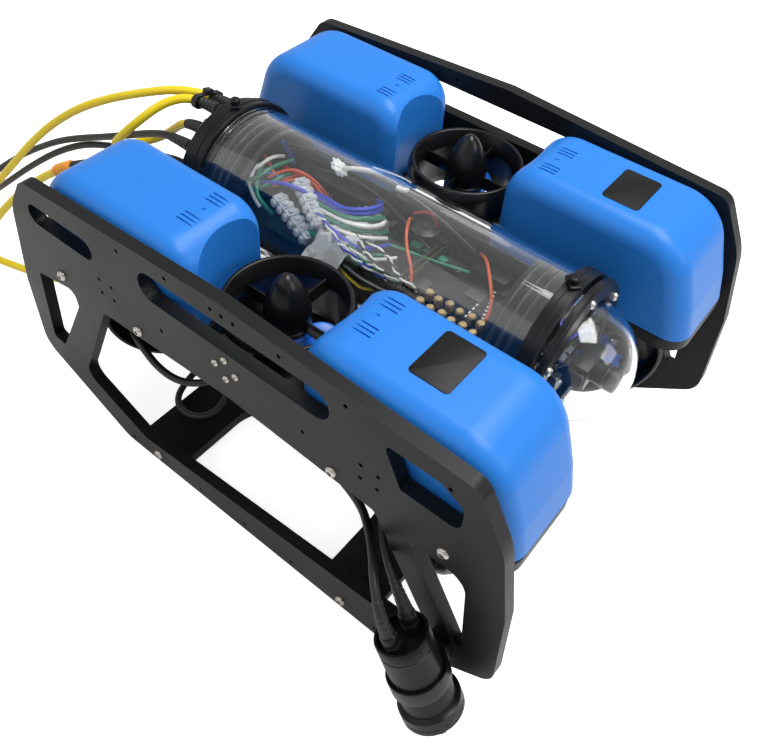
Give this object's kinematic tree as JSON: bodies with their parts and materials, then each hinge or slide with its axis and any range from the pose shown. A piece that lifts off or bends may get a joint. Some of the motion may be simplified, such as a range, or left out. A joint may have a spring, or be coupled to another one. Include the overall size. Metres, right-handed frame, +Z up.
{
  "type": "underwater inspection vehicle",
  "caption": "Open-frame tethered underwater vehicle: black side panels, blue buoyancy fairings, clear electronics tube with camera dome, vectored thrusters and a dive lamp.",
  "frame": {"origin": "middle of the vehicle on the floor plane under its two side panels", "axes": "+X to port, -Y towards the bow and its dome, +Z up"},
  "size_m": [0.4304, 0.9411, 0.267],
  "materials": {
    "frame_black": "satin, fine machining marks on the edges",
    "fairing_blue": "satin moulded blue",
    "gasket_black": "matt foam",
    "steel": "bright button heads",
    "clear_acrylic": "polished clear acrylic",
    "anodised_black": "black hard-anodised, satin",
    "battery_shell": "black anodised tube",
    "battery_wrap": "shrink wrap",
    "tray_black": "satin moulded",
    "circuit_green": "solder mask",
    "terminal_white": "translucent white",
    "camera_black": "matt",
    "thruster_black": "satin moulded",
    "propeller_blue": "satin moulded blue",
    "lamp_glass": "clear",
    "clamp_black": "satin",
    "tether_yellow": "satin jacket",
    "lead_black": "satin jacket",
    "lead_grey": "satin jacket",
    "tie_black": "satin"
  },
  "bodies": {
    "chassis": {"battery_cap_front": "anodised_black", "battery_cap_rear": "anodised_black", "battery_lead": "lead_grey", "battery_pack": "battery_wrap", "battery_tube": "battery_shell", "black_lead_lower": "lead_black", "black_lead_upper": "lead_black", "bottom_plate": "frame_black", "cable_tie": "tie_black", "camera_bracket": "tray_black", "charge_lead": "tether_yellow", "control_board": "circuit_green", "deck_front_port": "frame_black", "deck_front_starboard": "frame_black", "deck_gaskets": "gasket_black", "deck_rear_port": "frame_black", "deck_rear_starboard": "frame_black", "dome": "clear_acrylic", "dome_ring": "anodised_black", "electronics_tray": "tray_black", "fairing_front_port": "fairing_blue", "fairing_front_starboard": "fairing_blue", "fairing_rear_port": "fairing_blue", "fairing_rear_starboard": "fairing_blue", "front_flange": "anodised_black", "lamp_body": "anodised_black", "lamp_clamp": "clamp_black", "lamp_lead_lower": "lead_black", "lamp_lead_upper": "lead_black", "lamp_window": "lamp_glass", "lead_plugs": "tie_black", "main_tube": "clear_acrylic", "panel_screws_port": "steel", "panel_screws_starboard": "steel", "power_board": "circuit_green", "rear_cap": "anodised_black", "rear_flange": "anodised_black", "rear_penetrators": "anodised_black", "service_loop": "tether_yellow", "side_panel_port": "frame_black", "side_panel_starboard": "frame_black", "terminal_blocks": "terminal_white", "tether": "tether_yellow", "tether_coil": "tether_yellow", "thruster_front_port": "thruster_black", "thruster_front_starboard": "thruster_black", "thruster_lead": "lead_black", "thruster_lift_port": "thruster_black", "thruster_lift_starboard": "thruster_black", "thruster_rear_port": "thruster_black", "thruster_rear_starboard": "thruster_black", "yoke_front": "frame_black", "yoke_rear": "frame_black"},
    "lift_port_screw": {"prop_lift_port": "propeller_blue"},
    "lift_starboard_screw": {"prop_lift_starboard": "propeller_blue"},
    "front_port_screw": {"prop_front_port": "propeller_blue"},
    "front_starboard_screw": {"prop_front_starboard": "propeller_blue"},
    "rear_port_screw": {"prop_rear_port": "propeller_blue"},
    "rear_starboard_screw": {"prop_rear_starboard": "propeller_blue"},
    "camera_head": {"camera": "camera_black"}
  },
  "joints": [
    {"name": "lift_port_spin", "type": "hinge", "parent": "chassis", "child": "lift_port_screw", "pos_m": [0.1087, 0, 0.205], "axis": [0, 0, 1], "continuous": true},
    {"name": "lift_starboard_spin", "type": "hinge", "parent": "chassis", "child": "lift_starboard_screw", "pos_m": [-0.1087, 0, 0.205], "axis": [0, 0, 1], "continuous": true},
    {"name": "front_port_spin", "type": "hinge", "parent": "chassis", "child": "front_port_screw", "pos_m": [0.104, -0.15, 0.1212], "axis": [0.7071, 0.7071, 0], "continuous": true},
    {"name": "front_starboard_spin", "type": "hinge", "parent": "chassis", "child": "front_starboard_screw", "pos_m": [-0.104, -0.15, 0.1212], "axis": [-0.7071, 0.7071, 0], "continuous": true},
    {"name": "rear_port_spin", "type": "hinge", "parent": "chassis", "child": "rear_port_screw", "pos_m": [0.104, 0.15, 0.1212], "axis": [0.7071, -0.7071, 0], "continuous": true},
    {"name": "rear_starboard_spin", "type": "hinge", "parent": "chassis", "child": "rear_starboard_screw", "pos_m": [-0.104, 0.15, 0.1212], "axis": [-0.7071, -0.7071, 0], "continuous": true},
    {"name": "camera_tilt", "type": "hinge", "parent": "chassis", "child": "camera_head", "pos_m": [0, -0.178, 0.198], "axis": [1, 0, 0], "range_deg": [-45, 45]}
  ]
}
